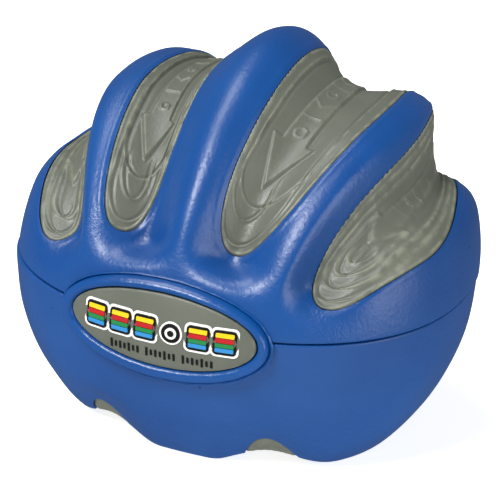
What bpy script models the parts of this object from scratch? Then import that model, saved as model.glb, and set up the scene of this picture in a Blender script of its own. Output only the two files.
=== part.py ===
# Hand and finger exerciser: a squeeze ball moulded in two halves, with four finger grooves.
# Metres, +Z up, front (label side) towards -Y. The origin is under the middle of the body,
# on the plane that the ball stands on.

import bpy
import bmesh
from math import asin, cos, pi, radians, sin, sqrt
from mathutils import Vector
from mathutils.bvhtree import BVHTree

# overall form, measured from the middle of the seam
HALF_WIDTH = 0.0430        # X, end to end over the seam
HALF_DEPTH = 0.0367        # Y, front to back over the seam
CREST_HEIGHT = 0.0414      # seam to the top of the middle ridge
SEAM_HEIGHT = 0.0298       # standing plane to the seam
BOWL_HEIGHT = 0.0420       # what the palm side would reach if it were not cut flat
PLAN_POWER = 2.31          # 2 is an ellipse, more is squarer
CROWN_POWER = 1.95
BOWL_POWER = 2.05
LEAN = 0.19                # the crown leans back by this much per unit of height
BODY_Y = 0.00035           # centres the whole ball, label included, over the origin

# ridges and finger grooves
RIDGE_X = 0.0286           # middle ridge to the next one
END_RIDGE_X = 0.0419       # middle ridge to the outermost one
GROOVE_DEPTH = 0.0063
OUTER_GROOVE_SHARE = 0.86  # the end grooves are this much of the depth
GROOVE_SHARPNESS = 1.9
GROOVE_START = 0.0005      # height over the seam where the grooves begin
GROOVE_RISE = 0.0076       # height over which they reach full depth
FAN = 0.41                 # how far ridges draw together at the front and the back
SINK_CENTRE = 0.0096       # grooves sink towards a line this far under the seam
SINK_X = 0.6

# skin, core and fits
SKIN = 0.0040              # thinnest skin, under a groove
END_WALL = 0.0070          # skin at the two ends
FLOOR = 0.0050             # skin under the palm grooves
GAP = 0.0003               # between pieces that touch
SEAM_GAP = 0.0003
LABEL_GAP = 0.0006         # label to skin, for its glue

# finger pads
PAD_THICKNESS = 0.0030
PAD_TRAVEL = 0.0015        # room in the wells; the joints stop at 1.4 mm
PAD_SIDE_GAP = 0.0006
WELL_DEPTH = 0.0096        # wells reach through the skin to the core
PADS = (                   # name, middle X, half width, tips' angle, bow to -X, slant
    ("index", 0.0352, 0.0046, radians(11.7), 0.0, -0.0027),
    ("middle", 0.0155, 0.0092, radians(24.5), 0.0020, -0.0007),
    ("ring", -0.0160, 0.0062, radians(23.5), 0.0034, 0.0022),
    ("little", -0.0350, 0.0034, radians(14.5), 0.0022, 0.0015),
)

# palm grooves and their pads, on the underside
PALM_GROOVE_X = 0.0155
PALM_GROOVE_HALF_WIDTH = 0.0110
PALM_GROOVE_DEPTH = 0.0031
PALM_GROOVE_RISE = 0.0134
PALM_PAD_HALF_WIDTH = 0.0058
PALM_PAD_HALF_LENGTH = 0.0270
PALM_PAD_THICKNESS = 0.0018

# label on the front
LABEL_X = -0.0011
LABEL_Z = -0.0009          # from the seam
LABEL_HALF_WIDTH = 0.0202
LABEL_HALF_HEIGHT = 0.0092
BEZEL_WIDTH = 0.0020
BEZEL_HEIGHT = 0.0017
PLATE_HEIGHT = 0.0009

BLUE = (0.023, 0.130, 0.366, 1.0)
GREY = (0.166, 0.186, 0.154, 1.0)
FOAM = (0.55, 0.50, 0.38, 1.0)

MERGE = 0.000001


def smooth(t):
    t = min(max(t, 0.0), 1.0)
    return t * t * (3.0 - 2.0 * t)


def place(point):
    # from the middle of the seam to the part's own frame
    return Vector((point.x, point.y + BODY_Y, point.z + SEAM_HEIGHT))


def form_point(line_x, angle, fan, half, power):
    # the point of a rounded form on one fan line, at one angle about X (0 is the front)
    width, depth, height = half
    low, high = 0.0, 2.0 * max(depth, height)
    for _ in range(36):
        reach = 0.5 * (low + high)
        y, z = -reach * cos(angle), reach * sin(angle)
        x = line_x * (1.0 - fan * (y / HALF_DEPTH) ** 2)
        plan = abs(x / width) ** PLAN_POWER + abs(y / depth) ** PLAN_POWER
        if plan ** (power / PLAN_POWER) + abs(z / height) ** power < 1.0:
            low = reach
        else:
            high = reach
    return Vector((x, y, z))


def groove_depth(p):
    # depth of the finger grooves at a point of the crown
    line_x = p.x / (1.0 - FAN * (p.y / HALF_DEPTH) ** 2)
    crests = [-END_RIDGE_X, -RIDGE_X, 0.0, RIDGE_X, END_RIDGE_X]
    depth = 0.0
    for k in range(4):
        t = (line_x - crests[k]) / (crests[k + 1] - crests[k])
        if 0.0 < t < 1.0:
            share = OUTER_GROOVE_SHARE if k in (0, 3) else 1.0
            depth = GROOVE_DEPTH * share * sin(pi * t) ** GROOVE_SHARPNESS
    return depth * smooth((p.z - GROOVE_START) / GROOVE_RISE) * clear_of_label(p)


def clear_of_label(p):
    # grooves die out around the label, so that it sits on plain skin
    if p.y > 0.0:
        return 1.0
    across = (p.x - LABEL_X) / LABEL_HALF_WIDTH
    up = (p.z - LABEL_Z) / LABEL_HALF_HEIGHT
    return smooth((sqrt(across ** 2 + up ** 2) - 1.05) / 0.5)


def sink(p, depth, sink_x=SINK_X):
    # move a point into the body, towards the line under the seam
    away = Vector((sink_x * p.x, p.y, p.z + SINK_CENTRE))
    share = depth / away.length
    return Vector((p.x * (1.0 - sink_x * share), p.y * (1.0 - share),
                   (p.z + SINK_CENTRE) * (1.0 - share) - SINK_CENTRE))


def lean(p):
    return Vector((p.x, p.y + LEAN * max(p.z, 0.0), p.z))


def crown_point(line_x, angle, extra=0.0, fan=FAN):
    # a point of the finger side's skin, or one that lies deeper by extra at the same X
    p = form_point(line_x, angle, fan, (HALF_WIDTH, HALF_DEPTH, CREST_HEIGHT), CROWN_POWER)
    return lean(sink(sink(p, groove_depth(p)), extra, sink_x=0.0))


def bowl_point(line_x, angle, fan):
    # a point of the palm side's skin
    p = form_point(line_x, -angle, fan, (HALF_WIDTH, HALF_DEPTH, BOWL_HEIGHT), BOWL_POWER)
    near_base = smooth((PALM_GROOVE_RISE - SEAM_HEIGHT - p.z) / (0.7 * PALM_GROOVE_RISE))
    off = min(abs(abs(p.x) - PALM_GROOVE_X) / PALM_GROOVE_HALF_WIDTH, 1.0)
    groove = PALM_GROOVE_DEPTH * near_base * cos(0.5 * pi * off) ** 2 if off < 1.0 else 0.0
    return Vector((p.x, p.y, max(p.z, -SEAM_HEIGHT) + groove))


def core_half(offset):
    return (HALF_WIDTH - END_WALL - offset, HALF_DEPTH - GROOVE_DEPTH - SKIN - offset)


def core_top(line_x, angle, offset, fan):
    width, depth = core_half(offset)
    height = CREST_HEIGHT - GROOVE_DEPTH - SKIN - offset
    scale = width / HALF_WIDTH
    return lean(form_point(line_x * scale, angle, fan, (width, depth, height), CROWN_POWER))


def core_bottom(line_x, angle, offset, fan):
    width, depth = core_half(offset)
    height = SEAM_HEIGHT - PALM_GROOVE_DEPTH - FLOOR - offset
    scale = width / HALF_WIDTH
    return form_point(line_x * scale, -angle, fan, (width, depth, height), 2.6)


# ---- meshes ----

def add_grid(bm, rows, wrap_rows=False, wrap_columns=False):
    # quads over a grid of points
    verts = [[bm.verts.new(point) for point in row] for row in rows]
    row_count, column_count = len(rows), len(rows[0])
    for i in range(row_count if wrap_rows else row_count - 1):
        for j in range(column_count if wrap_columns else column_count - 1):
            a, b = verts[i], verts[(i + 1) % row_count]
            k = (j + 1) % column_count
            bm.faces.new((a[j], b[j], b[k], a[k]))


def finish_mesh(name, bm, colour, roughness, angle=40):
    bmesh.ops.remove_doubles(bm, verts=bm.verts, dist=MERGE)
    bmesh.ops.dissolve_degenerate(bm, edges=bm.edges, dist=MERGE)
    bmesh.ops.recalc_face_normals(bm, faces=bm.faces)
    mesh = bpy.data.meshes.new(name)
    bm.to_mesh(mesh)
    bm.free()
    mesh.shade_smooth()
    mesh.set_sharp_from_angle(angle=radians(angle))
    material = bpy.data.materials.new(name)
    material.use_nodes = True
    shader = material.node_tree.nodes["Principled BSDF"]
    shader.inputs["Base Color"].default_value = colour
    shader.inputs["Roughness"].default_value = roughness
    shader.inputs["Metallic"].default_value = 0.0
    mesh.materials.append(material)
    obj = bpy.data.objects.new(name, mesh)
    bpy.context.collection.objects.link(obj)
    return obj


def as_cutter(obj):
    obj.hide_render = True
    obj.display_type = "WIRE"
    return obj


def cut(obj, cutter, solver="EXACT"):
    modifier = obj.modifiers.new("cut " + cutter.name, "BOOLEAN")
    modifier.operation = "DIFFERENCE"
    modifier.solver = solver
    modifier.object = as_cutter(cutter)


def line_columns():
    # fan lines: closer together on the ridges' flanks, meeting at the two ends
    def between(start, end, count):
        return [start + (end - start) * k / count for k in range(count)]

    first, last = asin(RIDGE_X / HALF_WIDTH), asin(END_RIDGE_X / HALF_WIDTH)
    inner = [asin(x / HALF_WIDTH) for x in between(0.0, RIDGE_X, 7)]
    side = inner + between(first, last, 5) + [last, 0.5 * (last + pi / 2), pi / 2]
    return [-v for v in reversed(side[1:])] + side


def grid_fan(v):
    return FAN * (1.0 - abs(sin(v)) ** 8)


def shell_rows(point, count, **more):
    # one row for each fan line, from the front seam to the back seam
    return [[place(point(HALF_WIDTH * sin(v), pi * k / count, fan=grid_fan(v), **more))
             for k in range(count + 1)] for v in line_columns()]


def shift(rows, dz):
    return [[p + Vector((0.0, 0.0, dz)) for p in row] for row in rows]


def add_bowl(bm, outer, inner):
    add_grid(bm, outer)
    add_grid(bm, inner)
    for j in (0, -1):
        add_grid(bm, [[row[j] for row in outer], [row[j] for row in inner]])


def patch_rows(columns, rows, point):
    # a leaf-shaped patch: across from -1 to 1, along from -1 to 1, pointed at both tips
    return [[point(across, sin(pi / 2 * (2.0 * k / rows - 1.0))) for k in range(rows + 1)]
            for across in [2.0 * c / columns - 1.0 for c in range(columns + 1)]]


def add_patch(bm, top, bottom):
    add_grid(bm, top)
    add_grid(bm, bottom)
    for side in (0, -1):
        add_grid(bm, [top[side], bottom[side]])


# ---- the pieces ----

def finger_shell():
    bm = bmesh.new()
    outer = shell_rows(crown_point, 25)
    inner = shell_rows(core_top, 14, offset=0.0)
    add_bowl(bm, shift(outer, SEAM_GAP), shift(inner, SEAM_GAP))
    return finish_mesh("finger_shell", bm, BLUE, 0.42)


def palm_shell():
    bm = bmesh.new()
    outer = shell_rows(bowl_point, 18)
    inner = shell_rows(core_bottom, 10, offset=0.0)
    add_bowl(bm, outer, inner)
    return finish_mesh("palm_shell", bm, BLUE, 0.42)


def foam_core():
    bm = bmesh.new()
    add_grid(bm, shell_rows(core_top, 12, offset=GAP))
    add_grid(bm, shell_rows(core_bottom, 10, offset=GAP))
    return finish_mesh("foam_core", bm, FOAM, 0.9)


def pad_point(middle, half_width, tip, bow, slant, top, across, along):
    # the pad's leaf shape on the crown; bowed and slanted between its tips
    half_angle = pi / 2 - tip
    angle = pi / 2 + half_angle * along
    width = half_width * max(1.0 - abs(along) ** 6, 0.0) ** 0.45
    line_x = middle - bow * abs(along) ** 3 + slant * along + width * across
    return place(crown_point(line_x, angle, extra=top))


def add_pad(bm, shape, top, bottom):
    layers = [patch_rows(6, 20, lambda across, along, depth=depth:
                         pad_point(*shape, depth, across, along))
              for depth in (top, bottom)]
    add_patch(bm, *layers)


def finger_pads(shell):
    # a pad slides straight down, so its well is longer at both tips
    tip_gap = (1.3 * PAD_TRAVEL + 2.0 * GAP) / (HALF_DEPTH - GROOVE_DEPTH)
    pads, wells = [], bmesh.new()
    for name, middle, half_width, tip, bow, slant in PADS:
        pad = bmesh.new()
        add_pad(pad, (middle, half_width, tip + tip_gap, bow, slant), 0.0, PAD_THICKNESS)
        pads.append(finish_mesh("finger_pad_" + name, pad, GREY, 0.55))
        add_pad(wells, (middle, half_width + PAD_SIDE_GAP, tip, bow, slant),
                -WELL_DEPTH, WELL_DEPTH)
    cut(shell, finish_mesh("finger_wells", wells, BLUE, 0.42), solver="MANIFOLD")
    return pads


def skin_tree(obj):
    return BVHTree.FromPolygons([v.co.copy() for v in obj.data.vertices],
                                [list(p.vertices) for p in obj.data.polygons])


def label_point(trees, share, inset, height, angle):
    # on an oval inside the label's outline, raised by height away from the body's axis
    x = LABEL_X + share * (LABEL_HALF_WIDTH - inset) * cos(angle)
    z = SEAM_HEIGHT + LABEL_Z + share * (LABEL_HALF_HEIGHT - inset) * sin(angle)
    if 0.0 <= z - SEAM_HEIGHT <= SEAM_GAP:
        z = SEAM_HEIGHT - MERGE
    start = Vector((x, -2.0 * HALF_DEPTH, z))
    hits = [tree.ray_cast(start, Vector((0.0, 1.0, 0.0)))[0] for tree in trees]
    hit = min((h for h in hits if h is not None), key=lambda h: h.y)
    away = Vector((SINK_X * hit.x, hit.y, 0.0)).normalized()
    return hit + away * height


def label_rows(trees, rings, count=44):
    # each ring is its share of the oval, its inset and its height
    return [[label_point(trees, share, inset, height, 2 * pi * k / count)
             for k in range(count)] for share, inset, height in rings]


def label(trees):
    bezel = bmesh.new()
    add_grid(bezel, label_rows(trees, ((1.0, 0.0, LABEL_GAP),
                                       (1.0, 0.1 * BEZEL_WIDTH, 0.8 * BEZEL_HEIGHT),
                                       (1.0, 0.5 * BEZEL_WIDTH, BEZEL_HEIGHT + GAP),
                                       (1.0, 0.9 * BEZEL_WIDTH, BEZEL_HEIGHT),
                                       (1.0, BEZEL_WIDTH, LABEL_GAP),
                                       (1.0, 0.5 * BEZEL_WIDTH, LABEL_GAP))),
             wrap_rows=True, wrap_columns=True)
    plate = bmesh.new()
    edge = BEZEL_WIDTH + 2.0 * GAP
    top = [(k / 4, edge, PLATE_HEIGHT + LABEL_GAP) for k in range(5)]
    under = [(k / 4, edge, LABEL_GAP) for k in range(4, -1, -1)]
    add_grid(plate, label_rows(trees, top + under), wrap_columns=True)
    return (finish_mesh("label_bezel", bezel, BLUE, 0.4),
            finish_mesh("label_plate", plate, GREY, 0.5))


def palm_pads(shell, tree):
    # strips in the palm grooves, let into the skin from below
    def leaf(middle, grow, depth):
        def point(across, along):
            width = (PALM_PAD_HALF_WIDTH + grow) * max(1.0 - abs(along) ** 6, 0.0) ** 0.45
            x = middle + width * across
            y = (PALM_PAD_HALF_LENGTH + grow) * along + BODY_Y
            hit = tree.ray_cast(Vector((x, y, -SEAM_HEIGHT)), Vector((0.0, 0.0, 1.0)))[0]
            return hit + Vector((0.0, 0.0, depth))
        return point

    pads = []
    for side, name in ((-1, "left"), (1, "right")):
        middle = side * PALM_GROOVE_X
        for kind, grow, low, high in (("palm_pad_", 0.0, 0.0, PALM_PAD_THICKNESS),
                                      ("palm_recess_", GAP, -0.004, PALM_PAD_THICKNESS + GAP)):
            bm = bmesh.new()
            add_patch(bm, patch_rows(4, 14, leaf(middle, grow, low)),
                      patch_rows(4, 14, leaf(middle, grow, high)))
            obj = finish_mesh(kind + name, bm, GREY, 0.55)
            if grow:
                cut(shell, obj)
            else:
                pads.append(obj)
    return pads


def empty(name, location, parent=None):
    obj = bpy.data.objects.new(name, None)
    obj.empty_display_size = 0.01
    bpy.context.collection.objects.link(obj)
    obj.parent = parent
    obj.location = location - (parent.location if parent else Vector())
    return obj


def hang(parent, at, *children):
    # parent a piece to its body's empty without moving its mesh in the world
    for child in children:
        child.parent = parent
        child.location = -at


def build():
    for obj in list(bpy.data.objects):
        bpy.data.objects.remove(obj)
    upper, lower, core = finger_shell(), palm_shell(), foam_core()
    trees = [skin_tree(upper), skin_tree(lower)]
    bezel, plate = label(trees)
    pads = finger_pads(upper)
    strips = palm_pads(lower, trees[1])

    seam = Vector((0.0, BODY_Y, SEAM_HEIGHT))
    palm = empty("palm_half", Vector())
    hang(palm, Vector(), lower, core, *strips)
    finger = empty("finger_half", seam, palm)
    hang(finger, seam, upper, bezel, plate)
    for pad in pads:
        box = [Vector(corner) for corner in pad.bound_box]
        middle = sum(box, Vector()) / 8.0
        body = empty(pad.name + "_press", middle - seam, finger)
        body.location = middle - seam
        hang(body, middle, pad)


build()
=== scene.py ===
from math import cos, pi, radians, sin

import bpy
import numpy as np
from mathutils import Matrix, Vector
from mathutils.kdtree import KDTree


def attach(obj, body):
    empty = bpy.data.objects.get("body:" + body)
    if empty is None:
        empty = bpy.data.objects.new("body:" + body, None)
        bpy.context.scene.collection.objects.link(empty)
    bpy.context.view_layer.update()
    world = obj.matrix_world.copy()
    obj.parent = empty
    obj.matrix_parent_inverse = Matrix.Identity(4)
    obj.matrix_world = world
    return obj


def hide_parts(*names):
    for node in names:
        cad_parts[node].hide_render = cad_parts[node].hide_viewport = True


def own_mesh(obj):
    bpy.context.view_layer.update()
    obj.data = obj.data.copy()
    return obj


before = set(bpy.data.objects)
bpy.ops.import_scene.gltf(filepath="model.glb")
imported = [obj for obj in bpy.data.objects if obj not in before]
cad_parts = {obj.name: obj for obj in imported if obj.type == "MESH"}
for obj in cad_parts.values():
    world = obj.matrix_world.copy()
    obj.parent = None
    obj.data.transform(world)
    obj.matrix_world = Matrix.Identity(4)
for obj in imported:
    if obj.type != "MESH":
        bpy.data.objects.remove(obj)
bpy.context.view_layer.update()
print("frame loaded")

# The form of the ball, in metres from the middle of its seam.

ball = {
    "halfWidth": 0.0430, "halfDepth": 0.0367,
    "crest": 0.0414,          # seam to the top of the middle ridge
    "seam": 0.0298,           # floor to the seam
    "bowl": 0.0420,           # palm side, if it were not cut flat
    "planPower": 2.31, "crownPower": 1.95, "bowlPower": 2.05,
    "lean": 0.19,             # the crown leans back by this much per unit of height
    "bodyY": 0.00035,
    "seamGap": 0.0003,
    "seamRound": 0.00045,     # rounding of both halves' edges at the seam
}
grooves = {
    "crests": (-0.0419, -0.0286, 0.0, 0.0286, 0.0419),
    "depth": 0.0063, "outerShare": 0.86, "sharpness": 1.9,
    "start": 0.0005, "rise": 0.0120,
    "fan": 0.41,              # how far the ridges draw together at the front and back
    "centre": 0.0096, "sinkX": 0.6,
}
labelPlace = {"x": -0.0011, "z": -0.0009, "halfWidth": 0.0202, "halfHeight": 0.0092}


def smooth(t):
    t = np.clip(t, 0.0, 1.0)
    return t * t * (3.0 - 2.0 * t)


def waves(points, size, seed):
    # a soft unevenness between about -1 and 1, with swellings of this size
    total = np.zeros(points.shape[:-1])
    draw = np.random.default_rng(seed)
    for _ in range(7):
        direction = draw.normal(size=3)
        direction *= 2 * pi / (size * draw.uniform(0.7, 1.6) * np.linalg.norm(direction))
        total += np.sin(points @ direction + draw.uniform(0, 2 * pi))
    return total / 3.0


def formPoint(lineX, angle, fan, half, power):
    # a rounded form's point on one fan line, at one angle about X (0 is the front)
    width, depth, height = half
    lineX, angle, fan = np.broadcast_arrays(lineX, angle, fan)
    low = np.zeros(lineX.shape)
    high = low + 2.0 * max(depth, height)
    for _ in range(34):
        reach = 0.5 * (low + high)
        y, z = -reach * np.cos(angle), reach * np.sin(angle)
        x = lineX * (1.0 - fan * (y / ball["halfDepth"]) ** 2)
        plan = np.abs(x / width) ** ball["planPower"] + np.abs(y / depth) ** ball["planPower"]
        inside = plan ** (power / ball["planPower"]) + np.abs(z / height) ** power < 1.0
        low, high = np.where(inside, reach, low), np.where(inside, high, reach)
    return np.stack([x, y, z], axis=-1)


def grooveDepth(p):
    x, y, z = p[..., 0], p[..., 1], p[..., 2]
    lineX = x / (1.0 - grooves["fan"] * (y / ball["halfDepth"]) ** 2)
    crests = grooves["crests"]
    depth = np.zeros(x.shape)
    for k in range(4):
        t = (lineX - crests[k]) / (crests[k + 1] - crests[k])
        share = grooves["outerShare"] if k in (0, 3) else 1.0
        wave = np.sin(pi * np.clip(t, 0.0, 1.0)) ** grooves["sharpness"]
        depth += np.where((t > 0.0) & (t < 1.0), share * wave, 0.0)
    across = (x - labelPlace["x"]) / labelPlace["halfWidth"]
    up = (z - labelPlace["z"]) / labelPlace["halfHeight"]
    clear = np.where(y > 0.0, 1.0, smooth((np.hypot(across, up) - 1.05) / 0.72))
    rise = smooth((z - grooves["start"]) / grooves["rise"])
    return grooves["depth"] * depth * rise * clear


def sink(p, depth, sinkX):
    # into the body, towards the line under the seam
    x, y, z = p[..., 0], p[..., 1], p[..., 2] + grooves["centre"]
    share = depth / np.sqrt((sinkX * x) ** 2 + y ** 2 + z ** 2)
    return np.stack([x * (1.0 - sinkX * share), y * (1.0 - share),
                     z * (1.0 - share) - grooves["centre"]], axis=-1)


def leanBack(p):
    y = p[..., 1] + ball["lean"] * np.maximum(p[..., 2], 0.0)
    return np.stack([p[..., 0], y, p[..., 2]], axis=-1)


def crownPoint(lineX, angle, extra=0.0, fan=grooves["fan"]):
    # the finger side's skin, or a point that lies deeper by extra
    half = (ball["halfWidth"], ball["halfDepth"], ball["crest"])
    p = formPoint(lineX, angle, fan, half, ball["crownPower"])
    return leanBack(sink(sink(p, grooveDepth(p), grooves["sinkX"]), extra, 0.0))


def placed(p, lift=0.0):
    # from the middle of the seam to the ball's own frame
    return p + np.array([0.0, ball["bodyY"], ball["seam"] + lift])


def roundSeam(p):
    # turns the edge at the seam inwards
    radius = ball["seamRound"]
    over = np.clip(1.0 - np.abs(p[..., 2]) / radius, 0.0, 1.0)
    inset = radius * (1.0 - np.sqrt(1.0 - over ** 2))
    out = np.stack([p[..., 0] / ball["halfWidth"] ** 2, p[..., 1] / ball["halfDepth"] ** 2,
                    np.zeros(over.shape)], axis=-1)
    out /= np.maximum(np.linalg.norm(out, axis=-1, keepdims=True), 1e-9)
    return p - out * inset[..., None]


def openedColumns(count):
    # fan lines from one end of the ball to the other, and their fans
    turn = np.linspace(-pi / 2, pi / 2, count + 1)
    return ball["halfWidth"] * np.sin(turn), grooves["fan"] * (1.0 - np.abs(np.sin(turn)) ** 8)


def sectionAngles(count):
    # front seam to back seam, closer together where the edges are rounded
    close = np.array([0.0, 0.0022, 0.0052, 0.0088, 0.0125, 0.018, 0.026])
    middle = np.linspace(0.036, pi - 0.036, count)
    return np.concatenate([close, middle, pi - close[::-1]])


def selectOnly(*objects):
    bpy.ops.object.select_all(action="DESELECT")
    for obj in objects:
        obj.select_set(True)
    bpy.context.view_layer.objects.active = objects[0]


def joined(objects):
    selectOnly(*objects)
    bpy.ops.object.join()
    return bpy.context.object


def faceOut():
    # every face of the active object points outwards
    bpy.ops.object.mode_set(mode="EDIT")
    bpy.ops.mesh.select_all(action="SELECT")
    bpy.ops.mesh.normals_make_consistent(inside=False)
    bpy.ops.object.mode_set(mode="OBJECT")


def verticesOf(obj):
    flat = np.empty(len(obj.data.vertices) * 3)
    obj.data.vertices.foreach_get("co", flat)
    return flat.reshape(-1, 3)


def addHighlightAndWear(obj, values):
    layer = obj.data.attributes.new("highlightAndWear", "FLOAT", "POINT")
    layer.data.foreach_set("value", np.ascontiguousarray(values))


def rolledGrid(name, table, highlightAndWear=None):
    # a grid whose points go where the table says, rolled up so that its last row meets its first
    rows, columns = table.shape[0], table.shape[1] - 1
    bpy.ops.object.select_all(action="DESELECT")
    bpy.ops.mesh.primitive_grid_add(x_subdivisions=columns, y_subdivisions=rows, size=1.0)
    obj = bpy.context.object
    obj.name = obj.data.name = name
    flat = verticesOf(obj)
    column = np.rint((flat[:, 0] + 0.5) * columns).astype(int)
    row = np.rint((flat[:, 1] + 0.5) * rows).astype(int) % rows
    obj.data.vertices.foreach_set("co", table[row, column].ravel())
    if highlightAndWear is not None:
        addHighlightAndWear(obj, highlightAndWear[row, column])
    bpy.ops.object.mode_set(mode="EDIT")
    bpy.ops.mesh.select_all(action="SELECT")
    bpy.ops.mesh.remove_doubles(threshold=0.000002)
    bpy.ops.object.mode_set(mode="OBJECT")
    faceOut()
    return obj


def cutOut(obj, cutter):
    modifier = obj.modifiers.new("cut", "BOOLEAN")
    modifier.operation = "DIFFERENCE"
    modifier.solver = "MANIFOLD"
    modifier.object = cutter
    selectOnly(obj)
    bpy.ops.object.modifier_apply(modifier="cut")
    bpy.data.objects.remove(cutter)


def finish(obj, material, angle):
    # one material all over, and a smooth surface up to this angle between faces
    obj.data.materials.clear()
    obj.data.materials.append(material)
    obj.data.polygons.foreach_set("material_index", np.zeros(len(obj.data.polygons), int))
    selectOnly(obj)
    bpy.ops.object.shade_smooth_by_angle(angle=radians(angle))


def linear(text):
    # sRGB hex to the linear colour that shaders take
    parts = [int(text[k:k + 2], 16) / 255 for k in (1, 3, 5)]
    return (*[c / 12.92 if c <= 0.04045 else ((c + 0.055) / 1.055) ** 2.4 for c in parts], 1.0)


def addNode(tree, kind, settings=None, links=None):
    # settings are properties, input sockets by name or number, or a ramp's stops (place and
    # colour); links are sockets to join
    node = tree.nodes.new("ShaderNode" + kind)
    for key, value in (settings or {}).items():
        if key == "stops":
            for element, (place, colour) in zip(node.color_ramp.elements, value):
                element.position = place
                element.color = linear(colour)
        elif isinstance(key, str) and hasattr(node, key):
            setattr(node, key, value)
        else:
            node.inputs[key].default_value = value
    for key, socket in (links or {}).items():
        tree.links.new(socket, node.inputs[key])
    return node


def startMaterial(name, colour, settings):
    material = bpy.data.materials.new(name)
    material.use_nodes = True
    shader = material.node_tree.nodes["Principled BSDF"]
    shader.inputs["Base Color"].default_value = linear(colour)
    for key, value in settings.items():
        shader.inputs[key].default_value = value
    return material, material.node_tree, shader


skinFinish = {
    "deep": "#003f82", "bright": "#0a4b90",
    "peel": 0.0008,          # orange peel of the sprayed skin, 0.8 mm from bump to bump
    "cloud": 0.030,          # slow change of tone
    "pinhole": 0.0035,       # one cell of the pattern that holds a pinhole here and there
    # darker blue painted into the pinholes as painted shade
    "pinholeShade": "#0b2f66",
    "patchScale": 60.0,      # patches of coarser stipple, about 17 mm across
    "bumpDepth": 0.00014,
}


def polyurethaneSkin(name, roughness, coarse, pinholes):
    # integral-skin polyurethane foam, its colour sprayed in the mould: satin, with a fine
    # orange peel, patches of coarser stipple, and a few open pinholes, dented and painted darker
    # inside as painted shade
    material, tree, shader = startMaterial(name, skinFinish["deep"],
                                           {"Roughness": roughness, "IOR": 1.45,
                                            "Specular IOR Level": 0.7})
    place = addNode(tree, "TexCoord").outputs["Object"]
    cloud = addNode(tree, "TexNoise", {"Scale": 1 / skinFinish["cloud"], "Detail": 3.0},
                    {"Vector": place})
    tone = addNode(tree, "ValToRGB", {"stops": ((0.3, skinFinish["deep"]), (0.7, skinFinish["bright"]))},
                   {"Fac": cloud.outputs["Fac"]}).outputs["Color"]
    peel = addNode(tree, "TexNoise", {"Scale": 1 / skinFinish["peel"], "Detail": 2.0},
                   {"Vector": place})
    grit = addNode(tree, "TexNoise", {"Scale": 2.2 / skinFinish["peel"], "Detail": 3.0},
                   {"Vector": place})
    patch = addNode(tree, "TexNoise", {"Scale": skinFinish["patchScale"], "Detail": 1.0},
                    {"Vector": place})
    patchy = addNode(tree, "MapRange", {"From Min": 0.56, "From Max": 0.72, "To Max": coarse},
                     {"Value": patch.outputs["Fac"]})
    stipple = addNode(tree, "Math", {"operation": "MULTIPLY"},
                      {0: grit.outputs["Fac"], 1: patchy.outputs["Result"]})
    cells = addNode(tree, "TexVoronoi", {"Scale": 1 / skinFinish["pinhole"]}, {"Vector": place})
    chosen = addNode(tree, "SeparateColor", links={0: cells.outputs["Color"]})
    few = addNode(tree, "Math", {"operation": "GREATER_THAN", 1: 1.0 - pinholes},
                  {0: chosen.outputs[0]})
    spot = addNode(tree, "MapRange", {"From Min": 0.05, "From Max": 0.10, "To Min": 1.0,
                                      "To Max": 0.0}, {"Value": cells.outputs["Distance"]})
    hole = addNode(tree, "Math", {"operation": "MULTIPLY"},
                   {0: spot.outputs["Result"], 1: few.outputs[0]})
    # pinholes painted darker: painted shade in the pits, whose dent the bump makes below
    colour = addNode(tree, "MixRGB", {"Color2": linear(skinFinish["pinholeShade"])},
                     {"Fac": hole.outputs[0], "Color1": tone})
    tree.links.new(colour.outputs[0], shader.inputs["Base Color"])
    height = addNode(tree, "Math", {"operation": "ADD"},
                     {0: peel.outputs["Fac"], 1: stipple.outputs[0]})
    dented = addNode(tree, "Math", {"operation": "SUBTRACT"},
                     {0: height.outputs[0], 1: hole.outputs[0]})
    bump = addNode(tree, "Bump", {"Strength": 0.55, "Distance": skinFinish["bumpDepth"]},
                   {"Height": dented.outputs[0]})
    tree.links.new(bump.outputs["Normal"], shader.inputs["Normal"])
    sheen = addNode(tree, "MapRange", {"To Min": roughness - 0.05, "To Max": roughness + 0.07},
                    {"Value": grit.outputs["Fac"]})
    tree.links.new(sheen.outputs["Result"], shader.inputs["Roughness"])
    return material


inlayFinish = {
    # the paler colour paints a highlight on raised lines and rims
    "deep": "#5c6056", "bright": "#65695e", "highlightAndWear": "#8b8e7c",
    "grain": 0.0006,         # fine leathery grain
    "cloud": 0.012,          # slow change of tone
    "wornScale": 420.0,      # worn spots, about 2.4 mm apart
    "bumpDepth": 0.00014,
}


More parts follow.
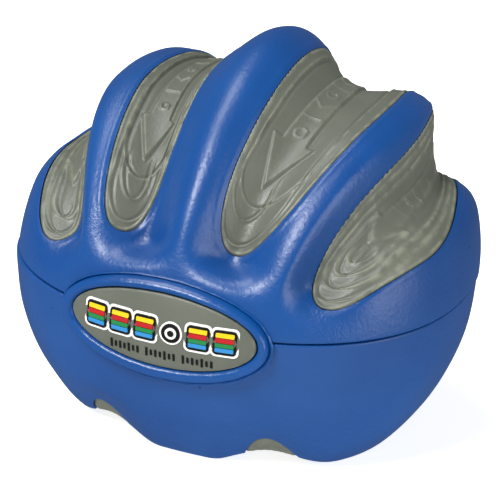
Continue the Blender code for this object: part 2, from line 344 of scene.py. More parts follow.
def greyInlay(name, roughness):
    # flexible polyurethane inlay, painted grey: satin, with a painted highlight in paler colour
    # on its raised moulded lines and its edge rim, broken up in random worn patches
    material, tree, shader = startMaterial(name, inlayFinish["deep"], {"Roughness": roughness})
    place = addNode(tree, "TexCoord").outputs["Object"]
    cloud = addNode(tree, "TexNoise", {"Scale": 1 / inlayFinish["cloud"], "Detail": 4.0},
                    {"Vector": place})
    tone = addNode(tree, "ValToRGB", {"stops": ((0.3, inlayFinish["deep"]), (0.7, inlayFinish["bright"]))},
                   {"Fac": cloud.outputs["Fac"]}).outputs["Color"]
    highlightAndWear = addNode(tree, "Attribute", {"attribute_name": "highlightAndWear"})
    worn = addNode(tree, "TexNoise", {"Scale": inlayFinish["wornScale"], "Detail": 3.0},
                   {"Vector": place})
    patchy = addNode(tree, "MapRange", {"From Min": 0.35, "From Max": 0.62},
                     {"Value": worn.outputs["Fac"]})
    share = addNode(tree, "Math", {"operation": "MULTIPLY", "use_clamp": True},
                    {0: highlightAndWear.outputs["Fac"], 1: patchy.outputs["Result"]})
    # paler colour where the attribute is high: painted highlight on the raised lines and rim, in random
    # worn patches
    colour = addNode(tree, "MixRGB", {"Color2": linear(inlayFinish["highlightAndWear"])},
                     {"Fac": share.outputs[0], "Color1": tone})
    tree.links.new(colour.outputs[0], shader.inputs["Base Color"])
    grain = addNode(tree, "TexNoise", {"Scale": 1 / inlayFinish["grain"], "Detail": 3.0},
                    {"Vector": place})
    bump = addNode(tree, "Bump", {"Strength": 0.45, "Distance": inlayFinish["bumpDepth"]},
                   {"Height": grain.outputs["Fac"]})
    tree.links.new(bump.outputs["Normal"], shader.inputs["Normal"])
    sheen = addNode(tree, "MapRange", {"To Min": roughness - 0.08, "To Max": roughness + 0.08},
                    {"Value": worn.outputs["Fac"]})
    tree.links.new(sheen.outputs["Result"], shader.inputs["Roughness"])
    return material


def openFoam(name):
    # open-cell polyurethane foam: matt, cream, with cells of about 1.5 mm, their hollows
    # painted darker as painted shade
    material, tree, shader = startMaterial(name, "#c9bd9b", {"Roughness": 0.95})
    place = addNode(tree, "TexCoord").outputs["Object"]
    cells = addNode(tree, "TexVoronoi", {"Scale": 650.0}, {"Vector": place})
    # darker towards each cell's middle, where the bump is deepest: painted shade in the hollows
    tone = addNode(tree, "ValToRGB", {"stops": ((0.05, "#a8996f"), (0.6, "#d4c9a9"))},
                   {"Fac": cells.outputs["Distance"]}).outputs["Color"]
    tree.links.new(tone, shader.inputs["Base Color"])
    bump = addNode(tree, "Bump", {"Strength": 0.6, "Distance": 0.0004},
                   {"Height": cells.outputs["Distance"]})
    tree.links.new(bump.outputs["Normal"], shader.inputs["Normal"])
    return material


def printedInk(name, colour):
    # screen-printed vinyl ink: thin and glossy, a little uneven in thickness
    material, tree, shader = startMaterial(name, colour, {"Roughness": 0.3})
    place = addNode(tree, "TexCoord").outputs["Object"]
    film = addNode(tree, "TexNoise", {"Scale": 1800.0, "Detail": 2.0}, {"Vector": place})
    sheen = addNode(tree, "MapRange", {"To Min": 0.22, "To Max": 0.42},
                    {"Value": film.outputs["Fac"]})
    tree.links.new(sheen.outputs["Result"], shader.inputs["Roughness"])
    bump = addNode(tree, "Bump", {"Strength": 0.12, "Distance": 0.00005},
                   {"Height": film.outputs["Fac"]})
    tree.links.new(bump.outputs["Normal"], shader.inputs["Normal"])
    return material


crownBlue = polyurethaneSkin("spraySkinCrown", 0.36, 1.6, 0.05)
bowlBlue = polyurethaneSkin("spraySkinBowl", 0.38, 0.8, 0.16)
rimBlue = polyurethaneSkin("spraySkinRim", 0.30, 0.9, 0.10)
padGrey = greyInlay("greyInlayPaint", 0.40)
labelGrey = greyInlay("greyLabelPaint", 0.42)
coreCream = openFoam("openCellFoam")
print("materials made")

padShape = {"thickness": 0.0030, "recess": 0.00012,
            "gap": 0.00012,        # to the skin around it
            "radius": 0.0390,      # of the arc that a pad follows, about
            "edgeRound": 0.00040,
            "lineWidth": 0.00020, "lineHeight": 0.00026,
            "arrowHeight": 0.00050, "markHeight": 0.00030, "markWidth": 0.00022,
            "ditchAt": 0.0005, "ditchWidth": 0.00026,      # beside a line, on its inside
            "stepWidth": 0.0008,
            "arrowEdge": 0.0006, "arrowDitchWidth": 0.0003,
            "calmFrom": 0.0004, "calmWidth": 0.0008,       # no lines this close to the edge
            "rimAt": 0.00042, "rimWidth": 0.00026, "rimHeight": 0.00016,
            "swelling": 0.009, "unevenness": 0.00006,
            "mirrorAngle": 96.0}   # the back half repeats the front from here

# lines are U-shaped contours: the tip's angle, how far the middle lies off the pad's own at the
# tip and further in, half width (shares of the pad's half width), length of the rounded tip
# and the angles between which the line fades, in degrees, and the step down inside;
# an arrow's corners and the marks along its shaft are angles and shares off the middle
pads = {
    "index": {
        "body": "index_pad", "node": "finger_pad_index",
        "middle": 0.0352, "halfWidth": 0.0046, "tip": radians(11.7),
        "bow": 0.0, "slant": -0.0027,
        "columns": 340, "across": 64,
        "lines": ((14.6, 0.0, 0.0, 0.80, 10, 95, 105, 0.00005),
                  (19.6, 0.0, 0.0, 0.62, 9, 95, 105, 0.00010),
                  (25.0, 0.0, 0.0, 0.45, 8, 50, 62, 0.00010),
                  (30.5, 0.0, 0.0, 0.28, 6, 36, 42, 0.00008)),
        "arrow": ((41.0, 0.0), (52.0, 0.50), (53.5, 0.30), (134.0, 0.30),
                  (134.0, -0.30), (54.5, -0.30), (54.5, -0.48)),
        "marks": (("bar", 62.0, 0.0), ("ring", 71.0, 0.0), ("chevron", 80.0, 0.0),
                  ("bar", 89.0, 0.0), ("ring", 98.0, 0.0)),
    },
    "middle": {
        "body": "middle_pad", "node": "finger_pad_middle",
        "middle": 0.0155, "halfWidth": 0.0092, "tip": radians(24.5),
        "bow": 0.0020, "slant": -0.0007,
        "columns": 380, "across": 96,
        "lines": ((27.4, -0.12, -0.10, 0.82, 15, 55, 72, 0.00008),
                  (35.0, -0.26, -0.36, 0.50, 10, 44, 52, 0.0),
                  (39.6, -0.12, -0.03, 0.78, 13, 150, 160, 0.00022)),
        "arrow": ((46.3, -0.20), (60.5, 0.40), (61.5, 0.20), (134.0, 0.20),
                  (134.0, -0.38), (62.5, -0.40), (62.5, -0.62)),
        "marks": (("ring", 66.0, -0.10), ("bar", 73.0, -0.10), ("chevron", 80.0, -0.10),
                  ("ring", 87.0, -0.10), ("bar", 94.0, -0.10), ("chevron", 101.0, -0.10)),
    },
    "ring": {
        "body": "ring_pad", "node": "finger_pad_ring",
        "middle": -0.0160, "halfWidth": 0.0062, "tip": radians(23.5),
        "bow": 0.0034, "slant": 0.0022,
        "columns": 380, "across": 96,
        "lines": ((26.4, 0.0, 0.0, 0.78, 13, 60, 75, 0.00008),
                  (33.5, 0.0, -0.10, 0.46, 9, 42, 50, 0.0),
                  (40.5, 0.0, 0.04, 0.76, 12, 150, 160, 0.00022)),
        "arrow": ((47.0, 0.0), (60.5, 0.56), (61.5, 0.36), (134.0, 0.36),
                  (134.0, -0.34), (62.5, -0.34), (61.0, -0.54)),
        "marks": (("ring", 66.0, 0.0), ("bar", 73.0, 0.0), ("chevron", 80.0, 0.0),
                  ("ring", 87.0, 0.0), ("bar", 94.0, 0.0), ("chevron", 101.0, 0.0)),
    },
    "little": {
        "body": "little_pad", "node": "finger_pad_little",
        "middle": -0.0350, "halfWidth": 0.0034, "tip": radians(14.5),
        "bow": 0.0022, "slant": 0.0015,
        "columns": 340, "across": 64,
        "lines": ((17.5, 0.0, 0.0, 0.76, 10, 95, 105, 0.00005),
                  (24.0, 0.0, 0.0, 0.50, 8, 95, 105, 0.00010)),
        "arrow": ((38.0, 0.0), (50.0, 0.52), (51.0, 0.34), (132.0, 0.34),
                  (132.0, -0.34), (52.0, -0.34), (52.0, -0.52)),
        "marks": (("bar", 60.0, 0.0), ("ring", 69.0, 0.0), ("chevron", 78.0, 0.0),
                  ("bar", 87.0, 0.0), ("ring", 96.0, 0.0)),
    },
}


def padMiddle(pad, along):
    return pad["middle"] - pad["bow"] * np.abs(along) ** 3 + pad["slant"] * along


def leafSpot(pad, across, along, grow=0.0):
    # the fan line and the angle of a spot on a pad: both run from -1 to 1
    tip = pad["tip"] - grow / ball["halfDepth"]
    angle = pi / 2 + (pi / 2 - tip) * along
    width = (pad["halfWidth"] + grow) * np.maximum(1.0 - np.abs(along) ** 6, 0.0) ** 0.45
    return padMiddle(pad, along) + width * across, angle


def crowdedTips(count):
    return np.sin(pi / 2 * np.linspace(-1.0, 1.0, count + 1))


def leafOutline(pad):
    # points along both edges of a pad, less than half a millimetre apart
    along = crowdedTips(260)
    sides = [crownPoint(*leafSpot(pad, side, along)) for side in (-1.0, 1.0)]
    return np.concatenate(sides)


def distanceTo(outline, points):
    tree = KDTree(len(outline))
    for k, point in enumerate(outline):
        tree.insert(point, k)
    tree.balance()
    away = [tree.find(point)[2] for point in points.reshape(-1, 3)]
    return np.array(away).reshape(points.shape[:-1])


def segmentDistance(u, v, start, end):
    du, dv = end[0] - start[0], end[1] - start[1]
    share = np.clip(((u - start[0]) * du + (v - start[1]) * dv) / (du * du + dv * dv), 0.0, 1.0)
    return np.hypot(u - start[0] - share * du, v - start[1] - share * dv)


def insideBy(u, v, corners):
    # distance to a closed outline, positive inside it
    nearest, inside = np.full(u.shape, 1.0), np.zeros(u.shape, bool)
    for start, end in zip(corners, corners[1:] + corners[:1]):
        nearest = np.minimum(nearest, segmentDistance(u, v, start, end))
        crosses = (start[1] > v) != (end[1] > v)
        at = start[0] + (v - start[1]) * (end[0] - start[0]) / (end[1] - start[1] + 1e-12)
        inside ^= crosses & (u < at)
    return np.where(inside, nearest, -nearest)


def markDistance(kind, u, v, size):
    # distance to the line of one small embossed mark around the origin
    if kind == "ring":
        return np.abs(np.hypot(u, v) - 0.62 * size)
    if kind == "bar":
        return segmentDistance(u, v, (-size, 0.0), (size, 0.0))
    return np.minimum(segmentDistance(u, v, (-size, 0.45 * size), (0.0, -0.45 * size)),
                      segmentDistance(u, v, (size, 0.45 * size), (0.0, -0.45 * size)))


def padRelief(pad, lineX, angle, edge):
    # height of the moulded lines, and the share of paler colour that paints a highlight on the raised
    # lines, the arrow's edge and the rim; edge is the distance to the rim
    degrees = np.degrees(angle)
    folded = np.where(degrees > padShape["mirrorAngle"],
                      2.0 * padShape["mirrorAngle"] - degrees, degrees)
    perDegree = radians(1.0) * padShape["radius"]        # metres along the groove
    narrowed = 1.0 - grooves["fan"] * np.cos(angle) ** 2
    aside = (lineX - padMiddle(pad, (angle - pi / 2) / (pi / 2 - pad["tip"]))) * narrowed
    half = pad["halfWidth"] * narrowed
    height, highlightAndWear = np.zeros(aside.shape), np.zeros(aside.shape)
    for tip, tipShift, farShift, share, cap, fadeFrom, fadeTo, step in pad["lines"]:
        shift = tipShift + (farShift - tipShift) * smooth((folded - tip) / (1.3 * cap))
        u = aside - shift * half
        v = np.minimum(folded - tip - cap, 0.0) * perDegree
        halfWide, capLong = share * half, cap * perDegree
        ratio = np.maximum(np.sqrt((u / halfWide) ** 2 + (v / capLong) ** 2), 0.05)
        slope = np.sqrt((u / halfWide ** 2) ** 2 + (v / capLong ** 2) ** 2) / ratio
        off = (ratio - 1.0) / np.maximum(slope, 60.0)
        shown = 1.0 - smooth((folded - fadeFrom) / (fadeTo - fadeFrom))
        ridge = np.exp(-(off / padShape["lineWidth"]) ** 2)
        ditch = np.exp(-((off + padShape["ditchAt"]) / padShape["ditchWidth"]) ** 2)
        height += shown * (padShape["lineHeight"] * (ridge - 0.75 * ditch)
                           - step * smooth(0.5 - off / padShape["stepWidth"]))
        # painted highlight: paler colour along the tops of the raised lines
        highlightAndWear += 0.75 * shown * ridge

    v = degrees * perDegree
    corners = []
    for cornerAngle, share in pad["arrow"]:
        wide = pad["halfWidth"] * (1.0 - grooves["fan"] * cos(radians(cornerAngle)) ** 2)
        corners.append((share * wide, cornerAngle * perDegree))
    depth = insideBy(aside, v, corners)
    height += padShape["arrowHeight"] * smooth(0.5 + depth / padShape["arrowEdge"])
    around = np.exp(-((depth + padShape["ditchAt"]) / padShape["arrowDitchWidth"]) ** 2)
    height -= 0.25 * padShape["lineHeight"] * around
    # painted highlight just inside the arrow's raised edge
    highlightAndWear += 0.35 * np.exp(-((depth - 0.0002) / padShape["arrowDitchWidth"]) ** 2)
    size = 0.17 * pad["halfWidth"] + 0.0002
    for kind, markAngle, share in pad["marks"]:
        near = markDistance(kind, aside - share * half, (degrees - markAngle) * perDegree, size)
        line = np.exp(-(near / padShape["markWidth"]) ** 2)
        height += padShape["markHeight"] * line
        # painted highlight on the raised marks
        highlightAndWear += 0.45 * line
    calm = smooth((edge - padShape["calmFrom"]) / padShape["calmWidth"])
    rim = np.exp(-((edge - padShape["rimAt"]) / padShape["rimWidth"]) ** 2)
    height = height * calm + padShape["rimHeight"] * rim
    # painted highlight on the raised rim at the pad's edge
    return height, np.clip(highlightAndWear * calm + 0.95 * rim, 0.0, 1.0)


def fingerPad(name, pad):
    along = crowdedTips(pad["columns"])[None, :]
    top = np.linspace(-1.0, 1.0, pad["across"] + 1)[:, None]
    outline = leafOutline(pad)
    lineX, angle = leafSpot(pad, top, along)
    edge = distanceTo(outline, crownPoint(lineX, angle))
    height, highlightAndWear = padRelief(pad, lineX, angle, edge)
    over = np.clip(1.0 - edge / padShape["edgeRound"], 0.0, 1.0)
    rounding = padShape["edgeRound"] * (1.0 - np.sqrt(1.0 - over ** 2))
    face = crownPoint(lineX, angle, padShape["recess"] + rounding - height)
    uneven = padShape["unevenness"] * waves(face, padShape["swelling"], 5)
    face += uneven[..., None] * np.array([0.0, 0.3, 1.0])
    under = np.linspace(1.0, -1.0, 9)[:, None]
    side = [crownPoint(*leafSpot(pad, end, along), deep)
            for end, depths in ((1.0, (0.0011, 0.0020)), (-1.0, (0.0020, 0.0011)))
            for deep in depths]
    below = crownPoint(*leafSpot(pad, under, along), padShape["thickness"])
    table = np.concatenate([face, *side[:2], below, *side[2:]])
    blank = np.zeros((table.shape[0] - face.shape[0], table.shape[1]))
    obj = rolledGrid(name, placed(table, ball["seamGap"]), np.concatenate([highlightAndWear, blank]))
    finish(obj, padGrey, 50)
    return obj


padPieces = {}
for finger, pad in pads.items():
    padPieces[finger] = fingerPad("fingerPad" + finger.capitalize(), pad)
print("finger pads made")


skin = {"columns": 366, "rows": 196, "innerRows": 12, "endWall": 0.0070, "wall": 0.0040,
        "floor": 0.0050, "wellDepth": 0.0080,
        "bead": 0.00017, "beadAt": 0.00095, "beadWidth": 0.00042,   # along each pad's outline
        "dip": 0.00006, "dipWidth": 0.00035,                        # right at the outline
        "unevenness": 0.00007, "crownSwelling": 0.012, "bowlSwelling": 0.014,
        "cutAbove": 0.004,         # how far the cutters of wells and recesses stand proud
        "palmShift": -0.0004}      # the halves meet a little out of line


def coreHalf(offset):
    return (ball["halfWidth"] - skin["endWall"] - offset,
            ball["halfDepth"] - grooves["depth"] - skin["wall"] - offset)


def coreTop(lineX, angle, fan, offset):
    width, depth = coreHalf(offset)
    height = ball["crest"] - grooves["depth"] - skin["wall"] - offset
    scale = width / ball["halfWidth"]
    return leanBack(formPoint(lineX * scale, angle, fan, (width, depth, height),
                              ball["crownPower"]))


def coreBottom(lineX, angle, fan, offset):
    width, depth = coreHalf(offset)
    height = ball["seam"] - palm["depth"] - skin["floor"] - offset
    scale = width / ball["halfWidth"]
    return formPoint(lineX * scale, -angle, fan, (width, depth, height), 2.6)


def padWells():
    # one cutter for the four wells, a hair wider than the pads
    wells = []
    for finger, pad in pads.items():
        along = crowdedTips(150)[None, :]
        across = np.linspace(-1.0, 1.0, 25)[:, None]
        top = crownPoint(*leafSpot(pad, across, along, padShape["gap"]), -skin["cutAbove"])
        middle = [crownPoint(*leafSpot(pad, side, along, padShape["gap"]), 0.0)
                  for side in (1.0, -1.0)]
        bottom = crownPoint(*leafSpot(pad, across[::-1], along, padShape["gap"]),
                            skin["wellDepth"])
        table = np.concatenate([top, middle[0], bottom, middle[1]])
        wells.append(rolledGrid("well" + finger, placed(table, ball["seamGap"])))
    return joined(wells)


def fingerSkin():
    lineX, fan = openedColumns(skin["columns"])
    angle = sectionAngles(skin["rows"])[:, None]
    plain = crownPoint(lineX[None, :], angle, fan=fan[None, :])
    raised = skin["unevenness"] * waves(plain, skin["crownSwelling"], 3)
    for pad in pads.values():
        away = distanceTo(leafOutline(pad), plain)
        raised += skin["bead"] * np.exp(-((away - skin["beadAt"]) / skin["beadWidth"]) ** 2)
        raised -= skin["dip"] * np.exp(-(away / skin["dipWidth"]) ** 2)
    raised *= smooth((plain[..., 2] - 0.0006) / 0.003)
    outer = roundSeam(crownPoint(lineX[None, :], angle, -raised, fan[None, :]))
    innerAngle = np.linspace(pi, 0.0, skin["innerRows"] + 1)[:, None]
    inner = coreTop(lineX[None, :], innerAngle, fan[None, :], 0.0)
    obj = rolledGrid("fingerSkin", placed(np.concatenate([outer, inner]), ball["seamGap"]))
    cutOut(obj, padWells())
    finish(obj, crownBlue, 38)
    return obj


palm = {"grooveX": 0.0155, "halfWidth": 0.0110, "depth": 0.0031, "rise": 0.0134,
        "stripHalfWidth": 0.0058, "stripHalfLength": 0.0270, "stripThickness": 0.0018,
        "stripGap": 0.0002, "stripRound": 0.0004, "footRound": 0.0006}


def palmArch(x, z):
    # how far the palm grooves lift the skin
    nearBase = smooth((palm["rise"] - ball["seam"] - z) / (0.7 * palm["rise"]))
    off = np.minimum(np.abs(np.abs(x) - palm["grooveX"]) / palm["halfWidth"], 1.0)
    return palm["depth"] * nearBase * np.cos(0.5 * pi * off) ** 2


def cutFlat(z):
    # the flat foot, with a soft edge
    soft = palm["footRound"]
    over = z + ball["seam"]
    return -ball["seam"] + 0.5 * (over + np.sqrt(over ** 2 + soft ** 2)) - 0.5 * soft * \
        np.exp(-np.abs(over) / 0.002)


def bowlPoint(lineX, angle, fan):
    half = (ball["halfWidth"], ball["halfDepth"], ball["bowl"])
    p = formPoint(lineX, -angle, fan, half, ball["bowlPower"])
    z = np.where(p[..., 2] < -0.02, np.maximum(cutFlat(p[..., 2]), -ball["seam"]), p[..., 2])
    return np.stack([p[..., 0], p[..., 1], z + palmArch(p[..., 0], p[..., 2])], axis=-1)


def undersideZ(x, y):
    # height of the palm skin over or under a spot, seen from below
    plan = np.abs(x / ball["halfWidth"]) ** ball["planPower"] \
        + np.abs(y / ball["halfDepth"]) ** ball["planPower"]
    z = -ball["bowl"] * np.maximum(1.0 - plan ** (ball["bowlPower"] / ball["planPower"]), 0.0) \
        ** (1.0 / ball["bowlPower"])
    return np.maximum(cutFlat(z), -ball["seam"]) + palmArch(x, z)


def stripTable(side, grow, low, high):
    along = crowdedTips(90)[None, :]
    width = (palm["stripHalfWidth"] + grow) * np.maximum(1.0 - np.abs(along) ** 6, 0.0) ** 0.45
    rows = []
    for across, depth in ((np.linspace(-1.0, 1.0, 25), low), (np.linspace(1.0, -1.0, 25), high)):
        x = side * palm["grooveX"] + width * across[:, None]
        y = (palm["stripHalfLength"] + grow) * along + 0.0 * x
        rounded = grow == 0.0 and depth == low
        rounding = palm["stripRound"] * np.abs(across[:, None]) ** 14 if rounded else 0.0
        rows.append(np.stack([x, y, undersideZ(x, y) + depth + rounding], axis=-1))
    return placed(np.concatenate(rows))


def palmSkin():
    lineX, fan = openedColumns(skin["columns"])
    angle = sectionAngles(skin["rows"])[:, None]
    p = bowlPoint(lineX[None, :], angle, fan[None, :])
    fade = smooth((-p[..., 2] - 0.0008) / 0.004) * smooth((p[..., 2] + 0.028) / 0.006)
    uneven = skin["unevenness"] / 0.036 * waves(p, skin["bowlSwelling"], 4) * fade
    p = p * (1.0 + uneven[..., None])
    p[..., 0] += skin["palmShift"] * smooth((p[..., 2] + ball["seam"]) / 0.015)
    outer = roundSeam(p)
    innerAngle = np.linspace(pi, 0.0, skin["innerRows"] + 1)[:, None]
    inner = coreBottom(lineX[None, :], innerAngle, fan[None, :], 0.0)
    obj = rolledGrid("palmSkin", placed(np.concatenate([outer, inner])))
    for side in (-1.0, 1.0):
        cutOut(obj, rolledGrid("recess", stripTable(side, palm["stripGap"], -skin["cutAbove"],
                                                    palm["stripThickness"] + 0.0002)))
    finish(obj, bowlBlue, 38)
    return obj


def palmStrip(name, side):
    obj = rolledGrid(name, stripTable(side, 0.0, 0.0001, palm["stripThickness"]))
    # an even share of the paler colour, which shows only in the random worn patches
    addHighlightAndWear(obj, np.full(len(obj.data.vertices), 0.25))
    finish(obj, padGrey, 50)
    return obj


def foamFilling():
    lineX, fan = openedColumns(120)
    up = np.linspace(0.0, pi, 61)[:, None]
    gap = 0.0003
    top = placed(coreTop(lineX[None, :], up, fan[None, :], gap))
    bottom = placed(coreBottom(lineX[None, :], up[::-1], fan[None, :], gap))
    obj = rolledGrid("foamFilling", np.concatenate([top, bottom]))
    finish(obj, coreCream, 50)
    return obj


# The two skins, the strips under the palm and the core.
crown = fingerSkin()
print("finger skin made")
bowl = palmSkin()
strips = {"left": palmStrip("palmStripLeft", -1.0), "right": palmStrip("palmStripRight", 1.0)}
filling = foamFilling()
print("palm skin, strips and core made")


rim = {"around": 320, "profile": (           # inset from the label's outline and height, in mm
    (-0.05, 0.02), (-0.92, 0.04), (-1.02, 0.30), (-0.88, 0.60), (-0.58, 0.70), (-0.28, 0.52),
    (-0.10, 0.24), (0.02, 0.30), (0.06, 0.90), (0.20, 1.46), (0.48, 1.86), (0.82, 2.02),
    (1.15, 1.98),
    (1.46, 1.76), (1.70, 1.40), (1.86, 0.95), (1.94, 0.45), (1.96, 0.05), (1.00, 0.00)),
    "flashNarrow": 0.45,                     # the flash is this much of its width at the top
    "ragged": 0.16, "ripple": 0.00005}       # unevenness of the flash and of the crest
plate = {"inset": 0.00235, "middle": 0.00095, "half": 0.00062, "domePower": 0.3,
         "around": 180, "rings": 44,
         "aside": 0.0003}                        # the plate sits this far right and up in its rim


def labelSpot(x, z, height):
    # a spot over the front of the body; height is away from the body's axis
    power = np.where(z > 0.0, ball["crownPower"], ball["bowlPower"])
    tall = np.where(z > 0.0, ball["crest"], ball["bowl"])
    up = (1.0 - np.abs(z / tall) ** power) ** (ball["planPower"] / power)
    wide = np.abs(x / ball["halfWidth"]) ** ball["planPower"]
    y = -ball["halfDepth"] * (up - wide) ** (1.0 / ball["planPower"])
    y += ball["lean"] * np.maximum(z, 0.0)
    length = np.hypot(grooves["sinkX"] * x, y)
    return placed(np.stack([x + height * grooves["sinkX"] * x / length,
                            y + height * y / length, z], axis=-1))


def onOval(turn, share, inset):
    x = labelPlace["x"] + share * (labelPlace["halfWidth"] - inset) * np.cos(turn)
    z = labelPlace["z"] + share * (labelPlace["halfHeight"] - inset) * np.sin(turn)
    return x, z


def labelRim():
    profile = np.array(rim["profile"]) / 1000.0
    count = len(profile)
    bpy.ops.object.select_all(action="DESELECT")
    bpy.ops.mesh.primitive_torus_add(major_segments=rim["around"], minor_segments=count,
                                     major_radius=1.0, minor_radius=0.25)
    obj = bpy.context.object
    obj.name = obj.data.name = "labelRim"
    p = verticesOf(obj)
    turn = np.arctan2(p[:, 1], p[:, 0])
    small = np.arctan2(p[:, 2], np.hypot(p[:, 0], p[:, 1]) - 1.0) % (2 * pi)
    spot = profile[np.rint(small / (2 * pi) * count).astype(int) % count]
    inset, height = spot[:, 0].copy(), spot[:, 1].copy()
    flash = rim["flashNarrow"] + (1.0 - rim["flashNarrow"]) * smooth(0.55 - 0.6 * np.sin(turn))
    flash *= 1.0 + rim["ragged"] * np.sin(9 * turn + 1.0) * np.sin(23 * turn)
    outside = inset < 0.0
    inset[outside] *= flash[outside]
    height[outside] *= (0.75 + 0.25 * flash)[outside]
    ripple = rim["ripple"] * np.sin(7 * turn) * np.sin(16 * turn + 2.0)
    height += np.where(height > 0.0009, ripple, 0.0)
    inner = smooth((inset - 0.0005) / 0.0010)
    x, z = onOval(turn, 1.0, inset + plate["aside"] * inner)
    x, z = x + plate["aside"] * inner, z + plate["aside"] * inner
    obj.data.vertices.foreach_set("co", labelSpot(x, z, height).ravel())
    faceOut()
    finish(obj, rimBlue, 60)
    return obj


def labelPlate():
    bpy.ops.object.select_all(action="DESELECT")
    bpy.ops.mesh.primitive_uv_sphere_add(segments=plate["around"], ring_count=plate["rings"],
                                         radius=1.0)
    obj = bpy.context.object
    obj.name = obj.data.name = "labelPlate"
    p = verticesOf(obj)
    turn, share = np.arctan2(p[:, 1], p[:, 0]), np.minimum(np.hypot(p[:, 0], p[:, 1]), 1.0)
    x, z = onOval(turn, share, plate["inset"])
    x, z = x + plate["aside"], z + plate["aside"]
    height = plate["middle"] + plate["half"] * np.sign(p[:, 2]) * np.abs(p[:, 2]) ** plate["domePower"]
    obj.data.vertices.foreach_set("co", labelSpot(x, z, height).ravel())
    # a paler band along the plate's edge
    addHighlightAndWear(obj, 0.5 * smooth((share - 0.95) / 0.05))
    faceOut()
    finish(obj, labelGrey, 60)
    return obj


inks = {"white": printedInk("inkWhite", "#f1f1ec"), "black": printedInk("inkBlack", "#141414"),
        "yellow": printedInk("inkYellow", "#e6c20e"), "red": printedInk("inkRed", "#b3161c"),
        "green": printedInk("inkGreen", "#1d8243"), "blue": printedInk("inkBlue", "#2785c4")}

# plain tablets with colour bars, a ring, and a row of ticks stand where a maker prints a name
printing = {"rowZ": 0.0008, "tabletHeight": 0.0046, "halo": 0.00042, "edge": 0.00045,
            "tablets": ((-0.01195, 0.0042), (-0.0071, 0.0042), (-0.00225, 0.0042),
                        (0.0078, 0.0042), (0.01265, 0.0042)),
            "bars": ("yellow", "red", "green", "blue"),
            "ringX": 0.0028, "ringSize": 0.0043,
            "haloLevel": 0.00014, "tabletLevel": 0.00020, "barLevel": 0.00026,
            "tickLevel": 0.00012, "root": 0.0001,        # over and into the plate
            "tickZ": -0.0039, "tickFrom": -0.0088, "tickTo": 0.0104, "ticks": 23}


def inkPatch(x, z, width, tall, corner, level, ink):
    # a flat patch with rounded corners, its top this far over the plate's middle height
    bpy.ops.object.select_all(action="DESELECT")
    bpy.ops.mesh.primitive_plane_add(size=1.0)
    obj = bpy.context.object
    bpy.ops.object.mode_set(mode="EDIT")
    bpy.ops.mesh.select_all(action="SELECT")
    bpy.ops.transform.resize(value=(width, tall, 1.0))
    bpy.ops.mesh.bevel(offset=corner, segments=5, affect="VERTICES")
    bpy.ops.mesh.extrude_region_move(TRANSFORM_OT_translate={"value": (0.0, 0.0, 1.0)})
    bpy.ops.object.mode_set(mode="OBJECT")
    faceOut()
    p = verticesOf(obj)
    px, pz = p[:, 0] + x + labelPlace["x"], p[:, 1] + z + labelPlace["z"]
    top = plateTop(px, pz)
    height = np.where(p[:, 2] > 0.5, top + level, top - printing["root"])
    obj.data.vertices.foreach_set("co", labelSpot(px, pz, height).ravel())
    obj.data.materials.append(inks[ink])
    return obj


def plateTop(x, z):
    # the height of the plate's face at a spot, as labelPlate makes it
    x, z = x - labelPlace["x"] - plate["aside"], z - labelPlace["z"] - plate["aside"]
    share = np.hypot(x / (labelPlace["halfWidth"] - plate["inset"]),
                     z / (labelPlace["halfHeight"] - plate["inset"]))
    dome = np.sqrt(np.maximum(1.0 - share ** 2, 0.0)) ** plate["domePower"]
    return plate["middle"] + plate["half"] * dome


def labelPrint():
    patches = []
    z, tall = printing["rowZ"], printing["tabletHeight"]
    for x, width in printing["tablets"]:
        halo, edge = 2 * printing["halo"], 2 * printing["edge"]
        patches.append(inkPatch(x, z, width + halo, tall + halo, 0.0010,
                                printing["haloLevel"], "white"))
        patches.append(inkPatch(x, z, width, tall, 0.0007, printing["tabletLevel"], "black"))
        barTall = (tall - edge) / len(printing["bars"])
        for k, ink in enumerate(printing["bars"]):
            barZ = z + 0.5 * (tall - edge) - (k + 0.5) * barTall
            patches.append(inkPatch(x, barZ, width - edge, 0.86 * barTall, 0.00015,
                                    printing["barLevel"], ink))
    size = printing["ringSize"]
    for share, level, ink in ((1.0, 0.00014, "white"), (0.84, 0.00018, "black"),
                              (0.50, 0.00022, "white"), (0.28, 0.00026, "black")):
        patches.append(inkPatch(printing["ringX"], z, share * size, share * size,
                                0.499 * share * size, level, ink))
    spots = np.linspace(printing["tickFrom"], printing["tickTo"], printing["ticks"])
    for k, x in enumerate(spots):
        if k % 8 != 7:
            tall = (0.0017, 0.0011, 0.0014, 0.0011)[k % 4]
            patches.append(inkPatch(x, printing["tickZ"], 0.00042, tall, 0.0001,
                                    printing["tickLevel"], "black"))
    obj = joined(patches)
    obj.name = obj.data.name = "labelPrint"
    return obj


rimPiece, platePiece, printPiece = labelRim(), labelPlate(), labelPrint()
print("label made")


def fit(obj, body, nodes):
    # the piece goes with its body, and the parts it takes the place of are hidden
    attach(obj, body)
    if nodes:
        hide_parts(*nodes)
    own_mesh(obj)


fit(crown, "finger_half", ["finger_shell"])
fit(bowl, "palm_half", ["palm_shell"])
fit(filling, "palm_half", ["foam_core"])
for finger, obj in padPieces.items():
    fit(obj, pads[finger]["body"], [pads[finger]["node"]])
for side, obj in strips.items():
    fit(obj, "palm_half", ["palm_pad_" + side])
fit(rimPiece, "finger_half", ["label_bezel"])
fit(platePiece, "finger_half", ["label_plate"])
fit(printPiece, "finger_half", [])
print("pieces fitted")


studio = {"azimuth": 22.8, "elevation": 23.9, "roll": 2.6, "distance": 0.6089, "lens": 233.6,
          "shiftX": 0.00256, "shiftY": 0.0089,
          "floor": "#e4e4e2", "floorSize": 6.0, "floorGlow": 0.80, "world": 0.15,
          "lampDistance": 0.6,
          # azimuth (0 is the front, left is negative), elevation, spread in degrees, strength
          "lights": {"key": (-28.0, 50.0, 20.0, 2.9), "top": (-100.0, 68.0, 30.0, 1.3),
                     "fill": (80.0, 14.0, 40.0, 1.2)}}


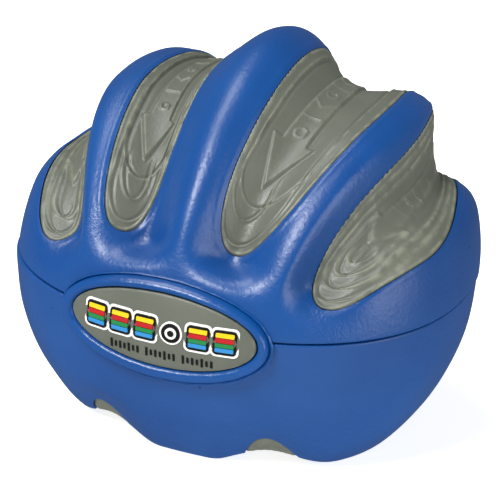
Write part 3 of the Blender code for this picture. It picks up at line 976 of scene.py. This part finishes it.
def paleFloor():
    bpy.ops.object.select_all(action="DESELECT")
    bpy.ops.mesh.primitive_plane_add(size=studio["floorSize"], location=(0.0, 0.0, 0.0))
    floor = bpy.context.object
    floor.name = "paleFloor"
    # white acrylic sheet lit from below, as for product pictures
    material, tree, shader = startMaterial(
        "litAcrylicSheet", studio["floor"],
        {"Roughness": 0.9, "Specular IOR Level": 0.1,
         "Emission Color": linear("#ffffff"), "Emission Strength": studio["floorGlow"]})
    floor.data.materials.append(material)
    floor.visible_glossy = False      # the ball does not mirror it


def softLight(name, azimuth, elevation, spread, strength):
    # a wide, distant light, even over the floor
    light = bpy.data.lights.new(name, "SUN")
    light.angle = radians(spread)
    light.energy = strength
    lamp = bpy.data.objects.new(name, light)
    bpy.context.collection.objects.link(lamp)
    a, e = radians(azimuth), radians(elevation)
    away = Vector((sin(a) * cos(e), -cos(a) * cos(e), sin(e)))
    lamp.location = studio["lampDistance"] * away
    lamp.rotation_euler = away.to_track_quat("Z", "Y").to_euler()


def frontCamera():
    a, e, roll = (radians(studio[key]) for key in ("azimuth", "elevation", "roll"))
    back = Vector((sin(a) * cos(e), -cos(a) * cos(e), sin(e)))
    right = Vector((cos(a), sin(a), 0.0))
    up = back.cross(right)
    right, up = right * cos(roll) + up * sin(roll), up * cos(roll) - right * sin(roll)
    camera = bpy.data.cameras.new("camera")
    camera.lens, camera.sensor_width = studio["lens"], 36.0
    camera.shift_x, camera.shift_y = studio["shiftX"], studio["shiftY"]
    obj = bpy.data.objects.new("camera", camera)
    bpy.context.collection.objects.link(obj)
    at = Vector((0.0, ball["bodyY"], ball["seam"])) + studio["distance"] * back
    obj.matrix_world = Matrix.Translation(at) @ Matrix((right, up, back)).transposed().to_4x4()
    bpy.context.scene.camera = obj


paleFloor()
world = bpy.data.worlds.new("studio")
world.use_nodes = True
world.node_tree.nodes["Background"].inputs["Color"].default_value = linear("#ffffff")
world.node_tree.nodes["Background"].inputs["Strength"].default_value = studio["world"]
bpy.context.scene.world = world
bpy.context.scene.view_settings.view_transform = "Standard"
for name, values in studio["lights"].items():
    softLight(name, *values)
frontCamera()
print("studio made")
